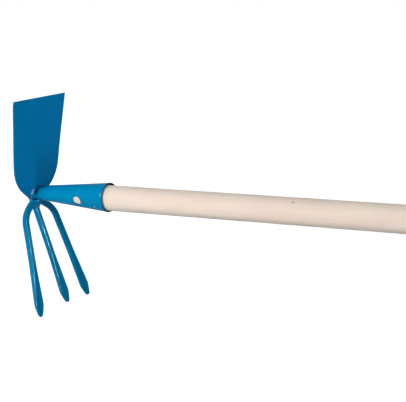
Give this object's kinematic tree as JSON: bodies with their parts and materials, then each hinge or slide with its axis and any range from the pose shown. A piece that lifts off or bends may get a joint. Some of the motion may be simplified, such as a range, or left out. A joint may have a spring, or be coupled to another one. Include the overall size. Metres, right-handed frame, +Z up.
{
  "type": "double hoe",
  "caption": "Long handled hand tool with a broad hoe blade above and a fork of leaf pointed tines below, welded to a rolled socket on a round wooden handle.",
  "frame": {"origin": "on the floor, under the middle of the object's box, with the tool lying on its outer tine tips and the far end of its handle", "axes": "+Z up, +X along the handle from the head to its far end as seen from above, +Y across the head"},
  "size_m": [1.2296, 0.0848, 0.2068],
  "materials": {
    "handle": "sanded beech, unvarnished",
    "painted_steel": "gloss blue paint"
  },
  "bodies": {
    "root": {"handle": "handle", "socket": "painted_steel", "blade": "painted_steel", "outer_tines": "painted_steel", "middle_tine": "painted_steel", "socket_weld_left": "painted_steel", "socket_weld_right": "painted_steel", "crown_weld": "painted_steel", "foot_weld": "painted_steel", "tine_weld": "painted_steel"}
  },
  "joints": []
}
